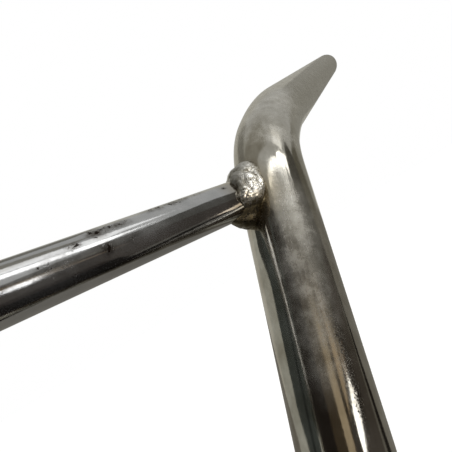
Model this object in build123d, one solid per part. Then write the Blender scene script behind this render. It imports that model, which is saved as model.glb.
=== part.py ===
from build123d import *
from math import cos, radians, sin, sqrt, tan
import os

# Dirt bike handlebar: one bent steel tube, and a thinner tube coped and welded across its two rises.
# Millimetres. X runs along the clamp section, Y points back to the rider and Z is up.
# The origin is on the tube's axis, in the middle of the clamp section.

# Main tube
tube_diameter = 22.2
tube_wall = 2.0
tube_end_chamfer = 0.4
clamp_straight = 100.0        # straight stretch between the two lower bends
lower_bend_radius = 55.0      # each bend's radius is that of the tube's axis
rise_angle = 64.3             # of each rise, above the clamp section
upper_bend_radius = 33.0
upper_bend_turn = 33.5        # how far the tight bend turns the tube, on its way to the grip
lead_out_radius = 150.0       # the gentle bend that turns it the rest of the way
lead_out_straight = 2.0       # between those two bends
grip_straight = 247.0
grip_sweep_angle = 15.5       # back from the clamp section, seen from above
grip_upsweep_angle = 19.7     # above the level

# Crossbar
crossbar_diameter = 11.1
crossbar_wall = 1.5
crossbar_height = 95.0        # its axis above that of the clamp section
crossbar_to_bend = 12.9       # from its axis, up the rise, to the corner of the tight bend

# Weld beads: each has a root run round the end of the crossbar, and a heavy cap run over its front
root_drop_count = 8
root_drop_radius = 3.4
root_drop_inset = 1.6         # underneath, in along the crossbar from the seam
root_start_angle = 150.0      # angles are round the crossbar, from its top towards its front
root_stop_angle = 378.0
cap_drop_count = 4
cap_drop_radius = 4.9
cap_drop_inset = 4.3          # in along the crossbar from the seam
cap_drop_sink = 1.9           # of the drops' centres, below the crossbar's surface
cap_start_angle = 24.0
cap_stop_angle = 114.0

tube_radius = tube_diameter / 2
crossbar_radius = crossbar_diameter / 2


def direction(sweep_back, upsweep):
    """Unit vector that points out to the right, swept back and raised by two angles."""
    level = cos(radians(upsweep))
    return Vector(
        level * cos(radians(sweep_back)),
        level * sin(radians(sweep_back)),
        sin(radians(upsweep)),
    )


def tangent_length(bend_radius, turn):
    """Distance from a bend's corner to where its arc begins."""
    return bend_radius * tan(radians(turn) / 2)


# Corners of the tube's axis, on the right
rise = direction(0, rise_angle)
grip = direction(grip_sweep_angle, grip_upsweep_angle)
lead_out = rise.rotate(Axis((0, 0, 0), rise.cross(grip)), upper_bend_turn)
lead_out_turn = lead_out.get_angle(grip)

lower_tangent = tangent_length(lower_bend_radius, rise_angle)
upper_tangent = tangent_length(upper_bend_radius, upper_bend_turn)
lead_out_tangent = tangent_length(lead_out_radius, lead_out_turn)

lower_corner = Vector(clamp_straight / 2 + lower_tangent, 0, 0)
joint = lower_corner + rise * (crossbar_height / rise.Z)
upper_corner = joint + rise * crossbar_to_bend
lead_out_corner = upper_corner + lead_out * (upper_tangent + lead_out_straight + lead_out_tangent)
tube_end = lead_out_corner + grip * (lead_out_tangent + grip_straight)

# The whole axis, from the left end to the right
right_side = [lower_corner, upper_corner, lead_out_corner, tube_end]
left_side = [Vector(-corner.X, corner.Y, corner.Z) for corner in right_side]
right_bends = [lower_bend_radius, upper_bend_radius, lead_out_radius]
tube_axis = FilletPolyline(*reversed(left_side), *right_side, radius=right_bends[::-1] + right_bends)
end_plane = Plane(origin=tube_axis @ 0, z_dir=tube_axis % 0)


def main_tube():
    """The bent tube, open at both ends, with its rims broken."""
    section = end_plane * (Circle(tube_radius) - Circle(tube_radius - tube_wall))
    tube = sweep(section, path=tube_axis)
    return chamfer(tube.faces().filter_by(GeomType.PLANE).edges(), tube_end_chamfer)


def tube_outline():
    """The bent tube without its bore, which shapes whatever meets it."""
    return sweep(end_plane * Circle(tube_radius), path=tube_axis)


def crossbar_rod(radius):
    """A round bar on the crossbar's axis, from rise to rise."""
    return Pos(0, 0, crossbar_height) * Rot(0, 90, 0) * Cylinder(radius, 2 * joint.X)


def crossbar_tube(outline):
    """The crossbar, its ends coped to lie against the rises."""
    return crossbar_rod(crossbar_radius) - crossbar_rod(crossbar_radius - crossbar_wall) - outline


def round_crossbar(angle):
    """Unit vector out from the crossbar's axis, at an angle from its top towards its front."""
    return Vector(0, -sin(radians(angle)), cos(radians(angle)))


def seam_point(angle):
    """Point at that angle on the seam between the crossbar and the right rise."""
    from_axis = round_crossbar(angle) * crossbar_radius
    reach = sqrt(tube_radius**2 - from_axis.Y**2)
    return joint + from_axis - Vector((reach - from_axis.Z * rise.X) / rise.Z, 0, 0)


def evenly_spaced(first, last, count):
    """Numbers from the first to the last, both of them among the count."""
    return [first + (last - first) * number / (count - 1) for number in range(count)]


def root_drops():
    """Drops of weld metal on the seam, from under the crossbar, up its back and over its top."""
    drops = []
    for angle in evenly_spaced(root_start_angle, root_stop_angle, root_drop_count):
        inset = root_drop_inset * (1 - cos(radians(angle))) / 2
        drops.append(Pos(seam_point(angle) - Vector(inset, 0, 0)) * Sphere(root_drop_radius))
    return drops


def cap_drops():
    """Larger drops beside the seam, half sunk in the front of the crossbar."""
    drops = []
    for angle in evenly_spaced(cap_start_angle, cap_stop_angle, cap_drop_count):
        inward = Vector(cap_drop_inset, 0, 0) + round_crossbar(angle) * cap_drop_sink
        drops.append(Pos(seam_point(angle) - inward) * Sphere(cap_drop_radius))
    return drops


def weld_bead(outline):
    """The bead round the right end of the crossbar, seated on both tubes."""
    first, *others = root_drops() + cap_drops()
    return first.fuse(*others) - outline - crossbar_rod(crossbar_radius)


outline = tube_outline()
right_bead = weld_bead(outline)
nodes = {
    "main_tube": main_tube(),
    "crossbar_tube": crossbar_tube(outline),
    "weld_beads": right_bead + mirror(right_bead, about=Plane.YZ),
}

os.makedirs("parts", exist_ok=True)
for name, shape in nodes.items():
    shape.label = name
    export_step(shape, f"parts/{name}.step")
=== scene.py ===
from math import atan2, ceil, cos, exp, pi, radians, sin, sqrt, tan

import bpy
from mathutils import Matrix, Vector, noise


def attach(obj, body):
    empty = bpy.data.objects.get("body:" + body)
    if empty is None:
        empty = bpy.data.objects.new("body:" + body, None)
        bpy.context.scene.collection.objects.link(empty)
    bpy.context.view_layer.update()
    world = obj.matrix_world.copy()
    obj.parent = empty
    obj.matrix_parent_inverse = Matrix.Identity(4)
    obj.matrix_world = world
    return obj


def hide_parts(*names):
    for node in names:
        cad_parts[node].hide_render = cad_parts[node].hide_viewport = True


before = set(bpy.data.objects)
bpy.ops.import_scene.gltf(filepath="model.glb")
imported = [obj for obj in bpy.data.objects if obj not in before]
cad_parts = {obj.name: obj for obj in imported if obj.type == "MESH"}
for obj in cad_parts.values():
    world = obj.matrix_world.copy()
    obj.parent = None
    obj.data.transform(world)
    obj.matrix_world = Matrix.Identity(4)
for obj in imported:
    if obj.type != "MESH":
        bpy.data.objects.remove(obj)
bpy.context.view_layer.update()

MM = 0.001

# Sizes of the bar, in metres, as in the part's source
tube_radius = 0.0111
tube_wall = 0.002
tube_end_chamfer = 0.0004
clamp_straight = 0.100
lower_bend_radius = 0.055
rise_angle = radians(64.3)
upper_bend_radius = 0.033
upper_bend_turn = radians(33.5)
lead_out_radius = 0.150
lead_out_straight = 0.002
grip_straight = 0.247
grip_sweep_angle = radians(15.5)
grip_upsweep_angle = radians(19.7)
crossbar_radius = 0.00555
crossbar_wall = 0.0015
crossbar_height = 0.095
crossbar_to_bend = 0.0129

# Fineness of the meshes
tube_sides = 144
bend_step = radians(1.5)
straight_step = 0.004
bore_stride = 3
crossbar_sides = 160
crossbar_steps = 120
bead_stations = 400
bead_steps = 70

# Weld beads. Each row: angle round the crossbar, from its top towards its front, in degrees; then in
# millimetres how far the bead reaches in along the crossbar, how far out over the rise, and its
# height; then how uneven it is, from 0 to 1.
bead_outline = [
    (0, 6.6, 3.6, 1.0, 1.0),
    (20, 8.0, 3.8, 1.1, 1.0),
    (43, 10.0, 2.1, 1.6, 1.0),
    (64, 10.0, 0.6, 2.1, 1.0),
    (90, 10.0, 0.4, 2.3, 1.0),
    (108, 9.8, 0.4, 2.1, 1.0),
    (119, 8.8, 0.4, 1.7, 0.8),
    (128, 7.6, 0.5, 1.1, 0.4),
    (137, 7.0, 0.6, 0.5, 0.1),
    (155, 7.2, 1.2, 0.3, 0.1),
    (171, 8.8, 2.6, 0.3, 0.1),
    (190, 8.0, 3.6, 0.5, 0.3),
    (215, 5.4, 3.6, 0.8, 0.7),
    (250, 4.2, 3.4, 1.0, 1.0),
    (290, 4.2, 3.4, 1.1, 1.0),
    (330, 5.4, 3.4, 1.1, 1.0),
]
bead_radius = 7.5 * MM        # from the crossbar's axis, for lengths along the bead
bead_fullness = 2.4           # of its section: 2 is an ellipse, and more is squarer
bead_root_depth = 0.3 * MM

# Puddles on the beads. Each row: angle; place across the bead, from the crossbar's toe (0) to the
# rise's (1); then half length, half width and height in millimetres.
puddles = [
    (52, 0.20, 3.6, 2.8, 0.7),
    (26, 0.62, 3.6, 3.4, 0.7),
    (78, 0.50, 3.4, 2.6, 0.6),
    (98, 0.12, 2.0, 1.7, 0.5),
    (106, 0.62, 3.0, 3.0, 0.6),
    (112, 0.32, 1.8, 1.9, 0.5),
    (80, 0.88, 3.8, 1.4, 0.5),
    (350, 0.45, 3.4, 3.6, 0.6),
    (318, 0.5, 3.0, 3.4, 0.6),
    (290, 0.45, 2.8, 3.2, 0.6),
    (262, 0.5, 3.0, 3.2, 0.6),
    (234, 0.5, 2.8, 3.2, 0.5),
]
puddle_roundness = 0.75       # of their section: 0.5 is an ellipse, and 1 a parabola

# Dull skin on the beads. Each row: as for the puddles, but with its strength, from 0 to 1, for a height.
dull_patches = [
    (52, 0.20, 3.8, 3.2, 1.0),
    (24, 0.45, 3.6, 4.5, 0.8),
    (104, 0.60, 1.8, 2.2, 0.5),
    (300, 0.50, 7.0, 4.0, 0.6),
]

# Crater of fine rings, where the last run stopped, at an angle and a place across the bead
crater_angle = 80
crater_place = 0.52
crater_pitch = 0.62 * MM
crater_reach = 2.8 * MM
crater_depth = 0.34 * MM

# Ripples and noise of the beads
ripple_pitch = 0.9 * MM
ripple_bow = 1.6
ripple_height = 0.03 * MM
lump_size = 3.2 * MM
lump_height = 0.3 * MM
lump_smoothness = 0.55
grain_size = 0.5 * MM
grain_height = 0.004 * MM
grain_smoothness = 0.5
octave_step = 2.0
octaves = 3

# Rust marks, where damp has got under the plating. Each row: millimetres along the crossbar from its
# middle, or on the tube the height of its axis; degrees round it, from the crossbar's top towards its
# front, or from the rises' front towards the outside; half length and half width in millimetres; and
# how far the plating has gone, from 0 to 1.
crossbar_rust = [
    (106, 57, 0.8, 0.8, 1.0),
    (98, 38, 4.0, 1.5, 0.5),
    (95, 40, 1.8, 1.2, 0.75),
    (91, 43, 2.6, 1.6, 0.8),
    (86, 40, 3.6, 1.8, 0.7),
    (76, 53, 3.6, 1.6, 0.7),
    (71, 55, 2.4, 1.9, 0.95),
    (66, 69, 1.8, 1.1, 0.85),
    (71, 98, 1.4, 1.8, 1.0),
    (77, 93, 3.0, 1.8, 0.6),
    (62, 98, 6.0, 3.2, 0.5),
    (30, 60, 5.0, 2.2, 0.65),
    (-18, 35, 6.0, 2.2, 0.6),
    (-52, 75, 4.0, 2.2, 0.75),
    (-84, 45, 5.0, 1.8, 0.75),
]
tube_rust = [
    (63, -18, 3.0, 1.6, 0.6),
    (57, -17, 3.0, 1.8, 0.7),
    (52, -15, 3.0, 1.8, 0.75),
    (47, -14, 3.0, 1.6, 0.75),
    (42, -14, 3.0, 1.4, 0.75),
    (37, -16, 2.6, 1.4, 0.8),
    (66, -38, 3.0, 2.5, 0.5),
    (72, -22, 4.0, 3.0, 0.45),
]

# Grey bloom on the chrome. Each row: as for the rust, but ending with how thick the bloom is.
crossbar_bloom = [
    (60, 90, 9.0, 3.0, 0.35),
    (80, 92, 8.0, 2.4, 0.35),
    (92, 60, 14.0, 3.0, 0.25),
    (10, 80, 16.0, 4.0, 0.3),
    (-60, 60, 20.0, 4.0, 0.3),
]
tube_bloom = [
    (85, -29, 5.0, 5.4, 1.0),
    (77, -27, 8.0, 5.4, 1.15),
    (69, -35, 6.0, 5.4, 1.1),
    (62, -34, 6.0, 5.2, 1.0),
    (55, -36, 6.0, 4.8, 0.95),
    (47, -42, 5.0, 3.4, 0.7),
    (117, -15, 5.5, 9.0, 1.0),
    (104, -22, 2.8, 11.0, 1.0),
    (113, -85, 12.0, 10.0, 0.8),
]

# Haze all over the chrome: heights in metres, with how thick it is there, and how far its edge wanders
tube_haze = [(0.0, 0.05), (0.106, 0.08), (0.113, 0.6), (0.2, 0.8)]
crossbar_haze = [(0.0, 0.05), (0.2, 0.05)]
haze_top = 0.2
haze_edge = {"To Min": -0.007, "To Max": 0.007}

# Colours of the chrome
tube_light = "CECBC2"
tube_dark = "A29D90"
crossbar_light = "CACACA"
crossbar_dark = "AEAFAF"
dark_up_to = 0.3
light_from = 0.68
pit_colour = "38302A"
smudge_colour = "5B564F"
# A darker straw tint mixed in round the joint, fading out away from it
joint_tint = "94825A"
joint_tint_middle = Vector((-0.015, 0, 0))        # from the joint
joint_tint_range = {"From Min": 13 * MM, "From Max": 5 * MM, "To Max": 0.7}

# Marks in the chrome, by the size of the real ones. Scratches and pinholes are finer than this on the
# bar, and are drawn as coarse as they need to be to show.
cloud_mm = 9.0
bloom_mm = 3.5
fleck_mm = 1.2
scratch_mm = 0.5
scratch_run_mm = 9.0
tube_pit_mm = 0.45
crossbar_pit_mm = 0.9
cloud_noise = {"Scale": 1 / cloud_mm, "Detail": 5.0, "Roughness": 0.6}
bloom_noise = {"Scale": 1 / bloom_mm, "Detail": 6.0, "Roughness": 0.7}
fleck_noise = {"Scale": 1 / fleck_mm, "Detail": 3.0, "Roughness": 0.7}
scratch_stretch = {"Scale": (1 / scratch_mm, 1 / scratch_mm, 1 / scratch_run_mm)}
scratch_noise = {"Scale": 1.0, "Detail": 4.0, "Roughness": 0.7}
pit_noise = {"Detail": 4.0, "Roughness": 0.65}
bloom_range = {"From Min": 0.35, "From Max": 0.6, "To Min": 0.55, "To Max": 1.15}
bloom_metallic = {"To Min": 1.0, "To Max": 0.76}
wear_range = {"From Min": 0.18, "From Max": 0.36}
smudge_range = {"From Min": 0.1, "From Max": 0.4, "To Max": 0.8}
rust_spread = 0.42
pit_range = {"From Min": 0.78, "From Max": 0.88}
mirror_roughness = {"To Min": 0.05, "To Max": 0.11}
haze_roughness = {"To Min": 0.255, "To Max": 0.425}
pit_roughness = 0.8
scratch_bump = {"Strength": 0.12, "Distance": 0.02 * MM}
pit_bump = {"Strength": 0.6, "Distance": 0.04 * MM, "invert": True}

# Weld metal
grime_size = 1.4 * MM
grime_noise = {"Scale": 1 / grime_size, "Detail": 5.0, "Roughness": 0.6}
# Weld colour by the puddles' height: the folds between puddles get the dark tone, as painted shade
fold_shading_range = {"From Max": 0.7, "To Min": -0.1, "To Max": 0.1}
weld_tones_shaded_in_folds = [(0.3, "5A5040"), (0.42, "B4B0A4"), (0.6, "F0EEE8")]
weld_roughness = {"From Min": 0.35, "From Max": 0.65, "To Min": 0.36, "To Max": 0.10}
weld_metallic = {"To Min": 1.0, "To Max": 0.85}
weld_bump = {"Strength": 0.2, "Distance": 0.02 * MM}
skin_colour = "77756D"
skin_strength = 0.75
skin_roughness = 0.6
# Painted shade on the smooth run of the bead under the crossbar
under_crossbar_shade_colour = "6F6753"

# Camera: a wide lens a hand's breadth from the joint
picture_pixels = 452
focal_pixels = 341
shift_pixels = -0.5
sensor_width = 36.0
nearest_seen = 0.01
camera_from_joint = Vector((-0.08449, -0.06695, -0.0177))
studio_view = Vector((0.6532, 0.7447, 0.137)).normalized()
studio_right = Vector((0.6873, -0.5073, -0.5199))
studio_right = (studio_right - studio_view * studio_right.dot(studio_view)).normalized()
studio_up = studio_right.cross(studio_view)

# Floor and surrounding light
floor_width = 30.0
floor_level = -tube_radius
floor_lift = 0.3
paper_colour = "F6F6F4"
paper_roughness = 0.9
white = "FFFFFF"
fill_light = 0.85

# Lamps under a ceiling that is square to the camera. Each row: name; how far it hangs to the right of
# the joint and beyond it, in ceiling heights; turn in degrees; length and width in metres; strength,
# where 1 is about as bright as white paper; outline; and what it lights.
ceiling = 1.5
ceiling_lamps = [
    ("softbox", -0.17, -0.685, 15, 1.45, 0.09, 2.3, "RECTANGLE", "tube"),
    ("second_softbox", 0.60, -0.365, 29, 0.98, 0.16, 2.3, "RECTANGLE", "tube"),
    ("round_softbox", 0.35, -0.47, 22, 0.50, 0.20, 2.4, "ELLIPSE", "tube"),
    ("soft_light_overhead", 0.31, -0.16, 0, 0.56, 0.42, 0.9, "RECTANGLE", "tube"),
    ("lamp_along_crossbar", 0.24, -0.405, 16, 0.90, 0.36, 1.9, "RECTANGLE", "crossbar"),
    ("second_lamp_along_crossbar", -0.02, -0.145, 8, 0.88, 0.46, 0.9, "RECTANGLE", "crossbar"),
    ("faint_lamp_along_crossbar", 0.27, -0.01, 90, 0.16, 0.10, 0.4, "RECTANGLE", "crossbar"),
]
# Lamps hung between two directions. Each row: name, those directions as for the cards below, width,
# strength, and what it lights.
strip_lamp_distance = 1.6
strip_lamps = [("lamp_above_weld", (60, 48), (125, 50), 0.7, 1.1, "beads")]
# Lamps that stand round the joint. Each row: name, bearing in degrees from +Y towards +X, distance from
# the joint, height above the clamp section's axis, width, length, strength, and what it lights.
standing_lamps = [
    ("lamp_in_front", 186.7, 0.302, 0.045, 0.010, 0.070, 3.0, "crossbar"),
    ("second_lamp_in_front", 183.6, 0.301, 0.034, 0.014, 0.080, 3.0, "crossbar"),
    ("lamp_beside_weld", 132, 0.35, 0.092, 0.17, 0.15, 6.0, "beads"),
]
# Lamps that lie on the floor. Each row: name, X and Y, turn in degrees, length, width, strength,
# colour, and what it lights.
floor_lamps = [
    ("lamp_on_floor", 0.109, -0.36, 0, 0.112, 0.29, 3.2, white, "tube"),
    ("lamp_beside_crossbar", 0.271, -0.121, -37, 0.15, 0.018, 1.1, "FFECD2", "crossbar"),
    ("lamp_left_under_crossbar", -0.120, -0.030, 0, 0.26, 0.12, 2.0, white, "crossbar"),
    ("lamp_low_beside_weld", 0.200, -0.120, -50, 0.12, 0.09, 5.0, "FFF2E0", "beads"),
]

# Cards that face the joint. Each row: name; azimuth, from where the camera looks towards its right,
# and elevation, both in degrees; distance from the joint; width, height and colour.
cards = [
    ("grey_ceiling_card", 0, 90, 2.0, 4.2, 4.2, "BDBDBB"),
    ("grey_card_high_on_left", 265, 52, 1.75, 2.1, 1.1, "918E85"),
    ("dark_card_high_on_right", 103, 36, 1.6, 1.15, 0.95, "585651"),
    ("second_dark_card_high_on_right", 131, 42, 1.6, 0.45, 0.65, "6A6762"),
    ("dim_card_ahead_on_right", 35, 28, 1.8, 1.2, 0.9, "94928A"),
    ("dim_card_on_left", 305, 27, 1.8, 1.3, 0.7, "817F78"),
    ("brown_card_behind_camera", 180, 0, 2.0, 4.2, 4.2, "463D31"),
    ("dark_card_behind_camera", 222, 14, 1.8, 1.0, 1.6, "25211E"),
    ("grey_card_on_left", 270, 0, 2.0, 4.2, 4.2, "AEAEA7"),
    ("dark_card_on_left", 258, 5, 1.7, 1.3, 1.9, "434745"),
    ("small_dark_card_on_left", 287, 4, 1.65, 0.6, 0.32, "3B3D3A"),
    ("dark_slat_on_left", 252, 3, 1.65, 0.16, 1.4, "2E3130"),
    ("olive_card_on_right", 90, 0, 2.0, 4.2, 4.2, "6C695F"),
    ("bright_card_on_right", 90, 2, 1.5, 0.16, 0.26, "F4EBD8"),
    ("grey_card_ahead", 0, 0, 2.0, 4.2, 4.2, "BCBAB1"),
    ("beige_slat", 175, 20, 1.7, 0.46, 0.7, "B0A087"),
    ("second_beige_slat", 152, 20, 1.65, 0.36, 0.7, "B29E82"),
    ("third_beige_slat", 136, 19, 1.7, 0.34, 0.58, "9C8D75"),
]
nearly_sideways = 0.9        # cosine to the camera's right, past which a card is squared to the view

# Cloths over the floor, in strips along a line through a point. Each row: name, how far its front and
# its back are behind that line, and colour.
cloth_line = (0.086, 0.010)
cloth_turn = radians(-29)
cloth_width = 6.0
cloth_lift = 0.5 * MM
cloths = [
    ("dark_cloth_in_front", -3.0, -0.030, "4A4540"),
    ("light_hem_of_dark_cloth", -0.030, -0.018, "67645D"),
    # Painted shadow: a dark strip between the two cloths, seen only in the metal
    ("fold_between_cloths", -0.018, 0.0, "24211E"),
    ("grey_cloth_behind", 0.0, 3.0, "7E7B74"),
]
# Sheets on the cloths. Each row: name, left, right, front, back and colour.
sheet_lift = 2 * cloth_lift
floor_sheets = [
    # The first two sheets are painted shadow of the crossbar on the cloth, seen only in the metal
    ("black_sheet_under_crossbar", -0.30, 0.125, -0.078, -0.008, "1E1C1A"),
    ("dark_sheet_in_front", -0.30, 0.125, -0.112, -0.078, "342F2B"),
    ("beige_sheet_on_floor", 0.150, 0.300, -1.60, -0.47, "8A7B69"),
]
floor_lamp_lift = 4 * cloth_lift


# Axis of the tube
def direction(sweep_back, upsweep):
    """Unit vector that points out to the right, swept back and raised by two angles."""
    level = cos(upsweep)
    return Vector((level * cos(sweep_back), level * sin(sweep_back), sin(upsweep)))


def tangent_length(bend_radius, turn):
    """Distance from a bend's corner to where its arc begins."""
    return bend_radius * tan(turn / 2)


def mirrored(point):
    """The same point on the other side of the bar."""
    return Vector((-point.x, point.y, point.z))


rise = direction(0, rise_angle)
grip = direction(grip_sweep_angle, grip_upsweep_angle)
lead_out = Matrix.Rotation(upper_bend_turn, 3, rise.cross(grip)) @ rise
upper_tangent = tangent_length(upper_bend_radius, upper_bend_turn)
lead_out_tangent = tangent_length(lead_out_radius, lead_out.angle(grip))

# Corners of the axis on the right, each with its bend's radius
lower_corner = Vector((clamp_straight / 2 + tangent_length(lower_bend_radius, rise_angle), 0, 0))
joint = lower_corner + rise * (crossbar_height / rise.z)
upper_corner = joint + rise * crossbar_to_bend
lead_out_corner = upper_corner + lead_out * (upper_tangent + lead_out_straight + lead_out_tangent)
tube_end = lead_out_corner + grip * (lead_out_tangent + grip_straight)
right_corners = [
    (lower_corner, lower_bend_radius),
    (upper_corner, upper_bend_radius),
    (lead_out_corner, lead_out_radius),
]


def straight_run(start, along, length):
    """Points and tangents of a straight run, all but the last."""
    pieces = max(1, ceil(length / straight_step))
    return [(start + along * (length * number / pieces), along) for number in range(pieces)]


def bend(start, along, onward, radius):
    """Points and tangents of an arc, all but the last."""
    turn = along.angle(onward)
    axis = along.cross(onward).normalized()
    centre = start + axis.cross(along) * radius
    pieces = ceil(turn / bend_step)
    turns = [Matrix.Rotation(turn * number / pieces, 3, axis) for number in range(pieces)]
    return [(centre + turned @ (start - centre), turned @ along) for turned in turns]


def tube_axis():
    """Points and tangents along the tube's axis, from the left end to the right."""
    left_corners = [(mirrored(corner), radius) for corner, radius in reversed(right_corners)]
    corners = left_corners + right_corners
    following = [corner for corner, _ in corners[1:]] + [tube_end]
    here = mirrored(tube_end)
    places = []
    for (corner, radius), after in zip(corners, following):
        along = (corner - here).normalized()
        onward = (after - corner).normalized()
        reach = tangent_length(radius, along.angle(onward))
        arc_start = corner - along * reach
        places += straight_run(here, along, (arc_start - here).length)
        places += bend(arc_start, along, onward, radius)
        here = corner + onward * reach
    along = (tube_end - here).normalized()
    length = (tube_end - here).length
    places += straight_run(here, along, length)
    places.append((here + along * length, along))
    return places


def frames_along(places):
    """Frames carried along an axis without a twist: point, tangent, front, top and distance so far."""
    frames = []
    front = Vector((0, -1, 0))
    distance = 0.0
    for point, along in places:
        front = (front - along * front.dot(along)).normalized()
        if frames:
            distance += (point - frames[-1][0]).length
        frames.append((point, along, front, along.cross(front), distance))
    return frames


# Meshes
def mesh_piece(name, vertices, faces, smooth=True):
    """A new object with this mesh, in the scene."""
    mesh = bpy.data.meshes.new(name)
    mesh.from_pydata(vertices, [], faces)
    mesh.validate()
    if smooth:
        mesh.shade_smooth()
    piece = bpy.data.objects.new(name, mesh)
    bpy.context.scene.collection.objects.link(piece)
    return piece


def grid_faces(rows, columns):
    """Quads of a grid that closes on itself both ways, as a ring does."""
    faces = []
    for row in range(rows):
        here = row * columns
        after = (row + 1) % rows * columns
        for column in range(columns):
            beside = (column + 1) % columns
            faces.append((here + column, here + beside, after + beside, after + column))
    return faces


def keep_amounts(piece, **amounts):
    """Stores amounts on a piece's vertices, for its finish to read by name."""
    for name, values in amounts.items():
        layer = piece.data.attributes.new(name, "FLOAT", "POINT")
        for item, value in zip(layer.data, values):
            item.value = value


def keep_layout(piece, straightened):
    """Stores where each vertex would be, in millimetres, if its tube were pulled straight."""
    layout = piece.data.attributes.new("straightened_mm", "FLOAT_VECTOR", "POINT")
    for item, place in zip(layout.data, straightened):
        item.vector = place


def mark_at(marks, run, angle, radius):
    """How strong the marks are there, at a run in metres and an angle in radians."""
    amount = 0.0
    for place, degrees_round, half_length, half_width, strength in marks:
        along = (run / MM - place) / half_length
        around = (angle - radians(degrees_round) + pi) % (2 * pi) - pi
        across = around * radius / MM / half_width
        amount = max(amount, strength * exp(-(along**2) - across**2))
    return amount


# Bent tube
def bent_tube():
    """The main tube: wall, open bore and chamfered rims, swept along the axis."""
    frames = frames_along(tube_axis())
    last = len(frames) - 1
    half_length = frames[last][-1] / 2
    bore = tube_radius - tube_wall

    # Rings, each with its frame's number, its shift along the tube and its radius
    outer = [(0, 0.0, tube_radius - tube_end_chamfer), (0, tube_end_chamfer, tube_radius)]
    outer += [(number, 0.0, tube_radius) for number in range(1, last)]
    outer += [(last, -tube_end_chamfer, tube_radius), (last, 0.0, tube_radius - tube_end_chamfer)]
    inner = [(last, 0.0, bore + tube_end_chamfer), (last, -tube_end_chamfer, bore)]
    inner += [(number, 0.0, bore) for number in range(last - 1, 0, -bore_stride)]
    inner += [(0, tube_end_chamfer, bore), (0, 0.0, bore + tube_end_chamfer)]

    vertices, straightened = [], []
    rusting, blooming = [], []
    forward = Vector((0, -1, 0))
    for number, shift, radius in outer + inner:
        point, along, front, top, distance = frames[number]
        outward = along.cross(forward) * (1 if point.x > 0 else -1)
        run = distance + shift - half_length
        for side in range(tube_sides):
            angle = 2 * pi * side / tube_sides
            vertex = point + along * shift + (front * cos(angle) + top * sin(angle)) * radius
            vertices.append(vertex)
            straightened.append(Vector((radius * cos(angle), radius * sin(angle), run)) / MM)
            away = vertex - point
            round_rise = atan2(away.dot(outward), away.dot(forward))
            rusting.append(mark_at(tube_rust, point.z, round_rise, radius))
            blooming.append(mark_at(tube_bloom, point.z, round_rise, radius))
    piece = mesh_piece("bent_tube", vertices, grid_faces(len(outer + inner), tube_sides))
    keep_layout(piece, straightened)
    keep_amounts(piece, rusting=rusting, blooming=blooming)
    return piece


# Crossbar
def round_crossbar(angle):
    """Unit vector out from the crossbar's axis, at an angle from its top towards its front."""
    return Vector((0, -sin(angle), cos(angle)))


def seam_point(angle, growth=0.0):
    """Point at that angle on the seam between the crossbar and the right rise.

    With growth, it is where a crossbar thicker by that much all round would meet the rise.
    """
    from_axis = round_crossbar(angle) * (crossbar_radius + growth)
    reach = sqrt(tube_radius**2 - from_axis.y**2)
    return joint + from_axis - Vector(((reach - from_axis.z * rise.x) / rise.z, 0, 0))


def crossbar():
    """The crossbar, its ends coped to lie against the rises."""
    # Rings, each with its radius and its place from the left seam (-1) to the right (1)
    outer = [(crossbar_radius, 2 * number / crossbar_steps - 1) for number in range(crossbar_steps + 1)]
    inner = [(crossbar_radius - crossbar_wall, 1), (crossbar_radius - crossbar_wall, -1)]

    vertices, straightened = [], []
    rusting, blooming = [], []
    for radius, share in outer + inner:
        for side in range(crossbar_sides):
            angle = 2 * pi * side / crossbar_sides
            end = seam_point(angle, radius - crossbar_radius)
            point = Vector((end.x * share, end.y, end.z))
            vertices.append(point)
            straightened.append(Vector((radius * cos(angle), radius * sin(angle), point.x)) / MM)
            rusting.append(mark_at(crossbar_rust, point.x, angle, radius))
            blooming.append(mark_at(crossbar_bloom, point.x, angle, radius))
    piece = mesh_piece("crossbar", vertices, grid_faces(len(outer + inner), crossbar_sides))
    keep_layout(piece, straightened)
    keep_amounts(piece, rusting=rusting, blooming=blooming)
    return piece


# Weld beads
def smooth_between(rows, angle):
    """The values for an angle, on a smooth curve through a ring of rows that start with their angles."""
    count = len(rows)
    after = next((number for number, row in enumerate(rows) if row[0] > angle), count)
    picked = []
    for number in range(after - 2, after + 2):
        turns, place = divmod(number, count)
        picked.append((rows[place][0] + 360 * turns, *rows[place][1:]))
    before, start, stop, beyond = picked
    share = (angle - start[0]) / (stop[0] - start[0])
    values = []
    for item in range(1, len(start)):
        low = (stop[item] - before[item]) / (stop[0] - before[0]) * (stop[0] - start[0])
        high = (beyond[item] - start[item]) / (beyond[0] - start[0]) * (stop[0] - start[0])
        values.append(
            (2 * share**3 - 3 * share**2 + 1) * start[item]
            + (share**3 - 2 * share**2 + share) * low
            + (3 * share**2 - 2 * share**3) * stop[item]
            + (share**3 - share**2) * high
        )
    return values


def away_from(middle, place, angle, share, width):
    """How far along and across a bead of that width a point is from a mark's middle."""
    along = radians((angle - middle + 180) % 360 - 180) * bead_radius
    return along, (share - place) * width


def dullness(angle, share, width):
    """How dull the bead's skin is there, from 0 to 1."""
    amount = 0.0
    for middle, place, half_length, half_width, strength in dull_patches:
        along, across = away_from(middle, place, angle, share, width)
        fading = exp(-((along / (half_length * MM)) ** 4) - (across / (half_width * MM)) ** 4)
        amount = max(amount, strength * fading)
    return amount


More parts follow.
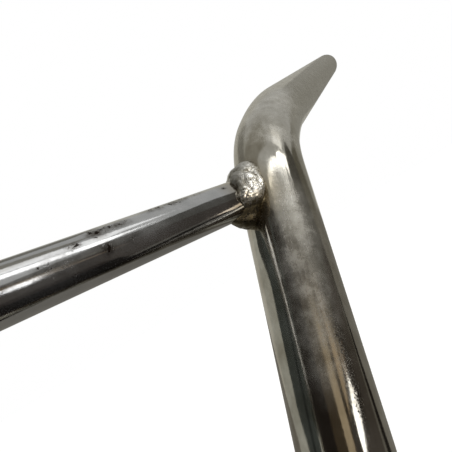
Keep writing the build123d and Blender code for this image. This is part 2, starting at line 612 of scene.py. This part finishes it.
def bead_relief(angle, share, width, point):
    """Height of the weld metal's puddles, crater, ripples and grain at a place on a bead."""
    relief = 0.0
    for middle, place, half_length, half_width, height in puddles:
        along, across = away_from(middle, place, angle, share, width)
        dome = 1 - (along / (half_length * MM)) ** 2 - (across / (half_width * MM)) ** 2
        relief = max(relief, height * MM * max(0.0, dome) ** puddle_roundness)

    along, across = away_from(crater_angle, crater_place, angle, share, width)
    reach = sqrt(along**2 + across**2)
    rings = (reach / crater_pitch) % 1.0
    cut_off = 1.0 if along < 0 else exp(-((along / crater_pitch) ** 2))
    cratered = exp(-((reach / crater_reach) ** 2)) * cut_off
    relief -= crater_depth * (1 - rings) ** 2 * cratered

    bow = (2 * share - 1) ** 2 * ripple_bow
    ripple = sin(2 * pi * (radians(angle) * bead_radius / ripple_pitch + bow))
    relief += ripple_height * ripple * (1 - cratered)
    lumps = noise.fractal(point / lump_size, lump_smoothness, octave_step, octaves)
    grain = noise.fractal(point / grain_size, grain_smoothness, octave_step, octaves)
    relief += lump_height * lumps
    return relief + grain_height * grain


def weld_bead(name, side):
    """A bead laid round one end of the crossbar: side is 1 on the right and -1 on the left."""
    vertices = []
    puddled, uneven, dulled = [], [], []
    for station in range(bead_stations):
        angle = 360 * station / bead_stations
        inset, growth, height, liveliness = smooth_between(bead_outline, angle)
        out = round_crossbar(radians(angle))
        seam = seam_point(radians(angle))
        from_rise = seam - joint
        tube_normal = (from_rise - rise * from_rise.dot(rise)).normalized()
        middle = (out + tube_normal).normalized()
        bar_toe = seam - Vector((inset * MM, 0, 0))
        rise_toe = seam_point(radians(angle), growth * MM)
        width = (rise_toe - bar_toe).length
        for step in range(bead_steps):
            share = step / (bead_steps - 1)
            arch = (1 - abs(2 * share - 1) ** bead_fullness) ** (1 / bead_fullness)
            point = bar_toe.lerp(rise_toe, share) + middle * (height * MM * arch)
            relief = bead_relief(angle, share, width, point * side) * liveliness
            vertices.append(point + middle * (relief * arch))
            puddled.append(relief / MM)
            dulled.append(dullness(angle, share, width))
        root = [
            rise_toe - tube_normal * bead_root_depth,
            seam - middle * bead_root_depth,
            bar_toe - out * bead_root_depth,
        ]
        vertices += root
        puddled += [0.0] * len(root)
        dulled += [0.0] * len(root)
        uneven += [liveliness] * (bead_steps + len(root))
    faces = grid_faces(bead_stations, len(vertices) // bead_stations)
    if side > 0:
        faces = [tuple(reversed(face)) for face in faces]
    else:
        vertices = [mirrored(vertex) for vertex in vertices]
    piece = mesh_piece(name, vertices, faces)
    keep_amounts(piece, height_of_puddles=puddled, unevenness=uneven, dullness=dulled)
    return piece


# Finishes
def srgb(code):
    """Linear colour of an sRGB hex code."""
    parts = [int(code[place : place + 2], 16) / 255 for place in (0, 2, 4)]
    linear = [part / 12.92 if part <= 0.04045 else ((part + 0.055) / 1.055) ** 2.4 for part in parts]
    return (*linear, 1.0)


def socket(node, key):
    """The input in use that has this name or number."""
    ready = [item for item in node.inputs if item.enabled]
    return ready[key] if isinstance(key, int) else next(item for item in ready if item.name == key)


def add(tree, kind, settings=None, links=None, output=None):
    """Adds a shader node with its settings and links, and gives back the output to link on.

    A key in settings is a property, an input's name or its number. "stops" fills a colour ramp.
    """
    node = tree.nodes.new("ShaderNode" + kind)
    for key, value in (settings or {}).items():
        if key == "stops":
            ramp = node.color_ramp.elements
            while len(ramp) < len(value):
                ramp.new(1.0)
            for element, (position, colour) in zip(ramp, value):
                element.position = position
                element.color = colour
        elif isinstance(key, str) and hasattr(node, key):
            setattr(node, key, value)
        else:
            socket(node, key).default_value = value
    for key, source in (links or {}).items():
        tree.links.new(source, socket(node, key))
    if output:
        return node.outputs[output]
    return next(item for item in node.outputs if item.enabled)


def new_material(name):
    """A material with its node tree and its shader."""
    material = bpy.data.materials.new(name)
    material.use_nodes = True
    return material, material.node_tree, material.node_tree.nodes["Principled BSDF"]


def worn_chrome(name, light, dark, pit_mm, haze_by_height):
    """Steel with old chrome plating.

    Polished before it was plated, so it mirrors its surroundings. Years of rubbing and damp have left
    a patchy grey bloom of fine scratches, which scatters some light, and rust shows through pinholes
    as smudges and dark pits. Round the joint a darker straw tint is mixed into the plating's colour,
    fading out away from it.
    """
    material, tree, shader = new_material(name)
    straight = add(tree, "Attribute", {"attribute_name": "straightened_mm"}, output="Vector")
    place = add(tree, "TexCoord", output="Object")
    height = add(tree, "SeparateXYZ", links={"Vector": place}, output="Z")

    # Haze by height, with a cloudy edge, and the bloom over it
    cloud = add(tree, "TexNoise", cloud_noise, {"Vector": straight})
    spread = add(tree, "MapRange", haze_edge, {"Value": cloud})
    level = add(tree, "Math", {"operation": "ADD"}, {0: height, 1: spread})
    share_up = add(tree, "Math", {"operation": "DIVIDE", 1: haze_top}, {0: level})
    stops = [(above / haze_top, (haze, haze, haze, 1.0)) for above, haze in haze_by_height]
    everywhere = add(tree, "ValToRGB", {"stops": stops}, {"Fac": share_up})
    bloom = add(tree, "TexNoise", bloom_noise, {"Vector": straight})
    bloomed = add(tree, "Attribute", {"attribute_name": "blooming"}, output="Fac")
    broken = add(tree, "MapRange", bloom_range, {"Value": bloom})
    bloomed = add(tree, "Math", {"operation": "MULTIPLY"}, {0: bloomed, 1: broken})
    haze = add(tree, "Math", {"operation": "MAXIMUM", "use_clamp": True}, {0: everywhere, 1: bloomed})

    # Scratches along the tube, gathered in flecks
    stretched = add(tree, "Mapping", scratch_stretch, {"Vector": straight})
    scratches = add(tree, "TexNoise", scratch_noise, {"Vector": stretched})
    fleck = add(tree, "TexNoise", fleck_noise, {"Vector": straight})
    both = add(tree, "Math", {"operation": "MULTIPLY"}, {0: scratches, 1: fleck})
    wear = add(tree, "MapRange", wear_range, {"Value": both})
    dull = add(tree, "MapRange", haze_roughness, {"Value": wear})
    bright = add(tree, "MapRange", mirror_roughness, {"Value": wear})
    rough = add(tree, "Mix", {"data_type": "FLOAT"}, {"Factor": haze, "A": bright, "B": dull})

    # Pits, thicker where the plating has gone
    rusting = add(tree, "Attribute", {"attribute_name": "rusting"}, output="Fac")
    specks = add(tree, "TexNoise", {"Scale": 1 / pit_mm, **pit_noise}, {"Vector": straight})
    eaten = add(tree, "Math", {"operation": "MULTIPLY_ADD", 1: rust_spread}, {0: rusting, 2: specks})
    pit = add(tree, "MapRange", pit_range, {"Value": eaten})

    # Colour: grey tones, then a darker straw tint round the joint, rust smudges and pits over them
    patchy = add(tree, "Mix", {"data_type": "FLOAT"}, {"Factor": haze, "A": cloud, "B": bloom})
    stops = [(dark_up_to, srgb(dark)), (light_from, srgb(light))]
    tone = add(tree, "ValToRGB", {"stops": stops}, {"Fac": patchy})
    aside = add(tree, "VectorMath", {"operation": "ABSOLUTE"}, {0: place})
    # Darker straw tint, strongest by the joint and fading with distance from it
    tint_middle_point = tuple(joint + joint_tint_middle)
    from_weld = add(tree, "VectorMath", {"operation": "DISTANCE", 1: tint_middle_point}, {0: aside}, output="Value")
    joint_tinted = add(tree, "MapRange", joint_tint_range, {"Value": from_weld})
    tone = add(tree, "Mix", {"data_type": "RGBA", "B": srgb(joint_tint)}, {"Factor": joint_tinted, "A": tone})
    smudge = add(tree, "Math", {"operation": "MULTIPLY"}, {0: rusting, 1: fleck})
    smudge = add(tree, "MapRange", smudge_range, {"Value": smudge})
    tone = add(tree, "Mix", {"data_type": "RGBA", "B": srgb(smudge_colour)}, {"Factor": smudge, "A": tone})
    tone = add(tree, "Mix", {"data_type": "RGBA", "B": srgb(pit_colour)}, {"Factor": pit, "A": tone})
    tree.links.new(tone, shader.inputs["Base Color"])

    metal = add(tree, "MapRange", bloom_metallic, {"Value": bloomed})
    tree.links.new(metal, shader.inputs["Metallic"])
    rough = add(tree, "Mix", {"data_type": "FLOAT", "B": pit_roughness}, {"Factor": pit, "A": rough})
    tree.links.new(rough, shader.inputs["Roughness"])
    scratched = add(tree, "Bump", scratch_bump, {"Height": wear})
    hollow = add(tree, "Bump", pit_bump, {"Height": pit, "Normal": scratched})
    tree.links.new(hollow, shader.inputs["Normal"])
    return material


def plated_weld():
    """Weld metal that was chromed over without being ground.

    It is bright on the puddles, and the folds between them are painted dark, as painted shade, with grime
    noise over both; a dull skin is left on some of them. The smooth run under the crossbar is painted
    dark, as painted shade.
    """
    material, tree, shader = new_material("chromed_weld_metal")
    place = add(tree, "TexCoord", output="Object")
    grime = add(tree, "TexNoise", grime_noise, {"Vector": place})
    puddled = add(tree, "Attribute", {"attribute_name": "height_of_puddles"}, output="Fac")
    uneven = add(tree, "Attribute", {"attribute_name": "unevenness"}, output="Fac")
    # Painted shade: the low folds between the puddles take the darkest tone
    shaded_folds = add(tree, "MapRange", fold_shading_range, {"Value": puddled})
    folds_shade_with_grime = add(tree, "Math", {"operation": "ADD"}, {0: grime, 1: shaded_folds})

    stops = [(share, srgb(code)) for share, code in weld_tones_shaded_in_folds]
    tone = add(tree, "ValToRGB", {"stops": stops}, {"Fac": folds_shade_with_grime})
    dull = add(tree, "Attribute", {"attribute_name": "dullness"}, output="Fac")
    darkened = add(tree, "Math", {"operation": "MULTIPLY", 1: skin_strength}, {0: dull})
    tone = add(tree, "Mix", {"data_type": "RGBA", "B": srgb(skin_colour)}, {"Factor": darkened, "A": tone})
    # Where the bead is even, under the crossbar, its colour turns to painted shade
    tone = add(tree, "Mix", {"data_type": "RGBA", "A": srgb(under_crossbar_shade_colour)}, {"Factor": uneven, "B": tone})
    tree.links.new(tone, shader.inputs["Base Color"])

    metal = add(tree, "MapRange", weld_metallic, {"Value": uneven})
    tree.links.new(metal, shader.inputs["Metallic"])
    rough = add(tree, "MapRange", weld_roughness, {"Value": folds_shade_with_grime})
    rough = add(tree, "Mix", {"data_type": "FLOAT", "B": skin_roughness}, {"Factor": dull, "A": rough})
    tree.links.new(rough, shader.inputs["Roughness"])
    depth = add(tree, "Math", {"operation": "MULTIPLY"}, {0: grime, 1: uneven})
    bumpy = add(tree, "Bump", weld_bump, {"Height": depth})
    tree.links.new(bumpy, shader.inputs["Normal"])
    return material


# Camera, floor and surrounding light
def camera():
    """Close to the joint, low in front of the crossbar, tilted as the photograph is."""
    data = bpy.data.cameras.new("camera")
    data.sensor_width = sensor_width
    data.lens = focal_pixels / picture_pixels * sensor_width
    data.shift_y = shift_pixels / picture_pixels
    data.clip_start = nearest_seen
    item = bpy.data.objects.new("camera", data)
    bpy.context.scene.collection.objects.link(item)
    turn = Matrix((studio_right, studio_up, -studio_view)).transposed()
    item.matrix_world = Matrix.Translation(joint + camera_from_joint) @ turn.to_4x4()
    bpy.context.scene.camera = item


def floor():
    """White paper under the bar. The camera sees it a little brighter, so that it meets the backdrop."""
    bpy.ops.mesh.primitive_plane_add(size=floor_width, location=(0, 0, floor_level))
    plane = bpy.context.object
    plane.name = "floor"
    material, tree, shader = new_material("white_paper")
    shader.inputs["Base Color"].default_value = srgb(paper_colour)
    shader.inputs["Roughness"].default_value = paper_roughness
    path = add(tree, "LightPath", output="Is Camera Ray")
    lift = add(tree, "Math", {"operation": "MULTIPLY", 1: floor_lift}, {0: path})
    glow = add(tree, "Emission", {"Color": srgb(white)}, {"Strength": lift})
    joined = add(tree, "AddShader", links={0: shader.outputs["BSDF"], 1: glow})
    tree.links.new(joined, tree.nodes["Material Output"].inputs["Surface"])
    plane.data.materials.append(material)
    return plane


def studio_world():
    """White where it is seen, also in metal, and soft light from all round."""
    world = bpy.data.worlds.new("studio")
    bpy.context.scene.world = world
    world.use_nodes = True
    tree = world.node_tree
    background = tree.nodes["Background"]
    background.inputs["Color"].default_value = srgb(white)
    path = tree.nodes.new("ShaderNodeLightPath").outputs
    brighter = {"operation": "MAXIMUM"}
    seen = add(tree, "Math", brighter, {0: path["Is Camera Ray"], 1: path["Is Glossy Ray"]})
    seen = add(tree, "Math", brighter, {0: seen, 1: path["Is Transmission Ray"]})
    strength = add(tree, "MapRange", {"To Min": fill_light, "To Max": 1.0}, {"Value": seen})
    tree.links.new(strength, background.inputs["Strength"])


# Lamps
def studio_direction(azimuth, elevation):
    """Direction from the joint: azimuth from where the camera looks to its right, both in degrees."""
    level = cos(radians(elevation))
    return (
        studio_view * (level * cos(radians(azimuth)))
        + studio_right * (level * sin(radians(azimuth)))
        + studio_up * sin(radians(elevation))
    )


def lamp(name, middle, side, facing, length, width, strength, pieces, colour=white, outline="RECTANGLE"):
    """A flat lamp, with its middle, its long side and the way that it shines, for these pieces alone."""
    data = bpy.data.lights.new(name, "AREA")
    data.shape = outline
    data.size = length
    data.size_y = width
    data.energy = strength * pi * length * width
    data.color = srgb(colour)[:3]
    item = bpy.data.objects.new(name, data)
    bpy.context.scene.collection.objects.link(item)
    axes = Matrix((side, side.cross(facing), -facing)).transposed()
    item.matrix_world = Matrix.Translation(middle) @ axes.to_4x4()
    item.visible_camera = False
    lit = bpy.data.collections.new(f"lit_by_{name}")
    for piece in pieces:
        lit.objects.link(piece)
    item.light_linking.receiver_collection = lit


def ceiling_lamp(name, right, onward, turn, length, width, strength, outline, pieces):
    """Hangs level under the ceiling."""
    middle = joint + (studio_up + studio_right * right + studio_view * onward) * ceiling
    side = studio_right * cos(radians(turn)) + studio_view * sin(radians(turn))
    lamp(name, middle, side, -studio_up, length, width, strength, pieces, outline=outline)


def strip_lamp(name, start, stop, width, strength, pieces):
    """Hangs between two directions, and faces the joint."""
    first, last = [joint + studio_direction(*end) * strip_lamp_distance for end in (start, stop)]
    side = (last - first).normalized()
    middle = (first + last) / 2
    facing = (joint - middle).normalized()
    lamp(name, middle, side, facing, (last - first).length, width, strength, pieces)


def standing_lamp(name, bearing, distance, height, width, length, strength, pieces):
    """Stands upright beside the bar, and faces the joint."""
    towards = Vector((sin(radians(bearing)), cos(radians(bearing)), 0))
    middle = Vector((joint.x, joint.y, height)) + towards * distance
    side = towards.cross(Vector((0, 0, 1)))
    lamp(name, middle, side, -towards, width, length, strength, pieces)


def floor_lamp(name, x, y, turn, length, width, strength, colour, pieces):
    """Lies on the floor and faces up."""
    middle = Vector((x, y, floor_level + floor_lamp_lift))
    side = Vector((cos(radians(turn)), sin(radians(turn)), 0))
    lamp(name, middle, side, Vector((0, 0, 1)), length, width, strength, pieces, colour)


# Cards, cloths and sheets for the metal to mirror
def reflector(name, corners, colour):
    """A flat sheet that glows in its own colour, and that only the metal sees."""
    piece = mesh_piece(name, corners, [(0, 1, 2, 3)], smooth=False)
    material, tree, _ = new_material(name)
    glow = add(tree, "Emission", {"Color": srgb(colour), "Strength": 1.0})
    tree.links.new(glow, tree.nodes["Material Output"].inputs["Surface"])
    piece.data.materials.append(material)
    piece.visible_camera = False
    piece.visible_diffuse = False
    piece.visible_transmission = False
    piece.visible_volume_scatter = False
    piece.visible_shadow = False


def oblong(left, right, front, back):
    """Corners of an oblong, in order."""
    return [(left, front), (right, front), (right, back), (left, back)]


def card(name, azimuth, elevation, distance, width, height, colour):
    """A card that stands or hangs in a direction from the joint, and faces it."""
    facing = studio_direction(azimuth, elevation).normalized()
    side = studio_right if abs(facing.dot(studio_right)) < nearly_sideways else studio_view
    side = (side - facing * side.dot(facing)).normalized()
    other_side = facing.cross(side)
    middle = joint + facing * distance
    corners = oblong(-width / 2, width / 2, -height / 2, height / 2)
    reflector(name, [middle + side * x + other_side * y for x, y in corners], colour)


def cloth(name, front, back, colour):
    """A strip of cloth on the floor, along the cloths' line."""
    middle = Vector((*cloth_line, floor_level + cloth_lift))
    turn = Matrix.Rotation(cloth_turn, 3, "Z")
    corners = oblong(-cloth_width / 2, cloth_width / 2, front, back)
    reflector(name, [middle + turn @ Vector((x, y, 0)) for x, y in corners], colour)


def floor_sheet(name, left, right, front, back, colour):
    """A sheet that lies on the cloths."""
    corners = oblong(left, right, front, back)
    reflector(name, [Vector((x, y, floor_level + sheet_lift)) for x, y in corners], colour)


# The bar
def link(piece, slot, *nodes):
    """Ties a piece to the body and hides the nodes that it stands for. The slot is not used."""
    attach(piece, "root")
    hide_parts(*nodes)


tube = bent_tube()
tube_chrome = worn_chrome("worn_chrome_on_tube", tube_light, tube_dark, tube_pit_mm, tube_haze)
tube.data.materials.append(tube_chrome)
link(tube, "worn_chrome_tube", "main_tube")

bar = crossbar()
bar_chrome = worn_chrome(
    "worn_chrome_on_crossbar", crossbar_light, crossbar_dark, crossbar_pit_mm, crossbar_haze
)
bar.data.materials.append(bar_chrome)
link(bar, "worn_chrome_crossbar", "crossbar_tube")

weld = plated_weld()
beads = [weld_bead("weld_bead_right", 1), weld_bead("weld_bead_left", -1)]
for bead in beads:
    bead.data.materials.append(weld)
    link(bead, "plated_weld", "weld_beads")

# The studio
camera()
paper = floor()
studio_world()
lit = {"tube": [tube, *beads, paper], "crossbar": [bar], "beads": beads}
lamps = [
    (ceiling_lamp, ceiling_lamps),
    (strip_lamp, strip_lamps),
    (standing_lamp, standing_lamps),
    (floor_lamp, floor_lamps),
]
for put_up, rows in lamps:
    for *row, catches in rows:
        put_up(*row, lit[catches])
for put_up, rows in [(card, cards), (cloth, cloths), (floor_sheet, floor_sheets)]:
    for row in rows:
        put_up(*row)
bpy.context.scene.view_settings.view_transform = "Standard"
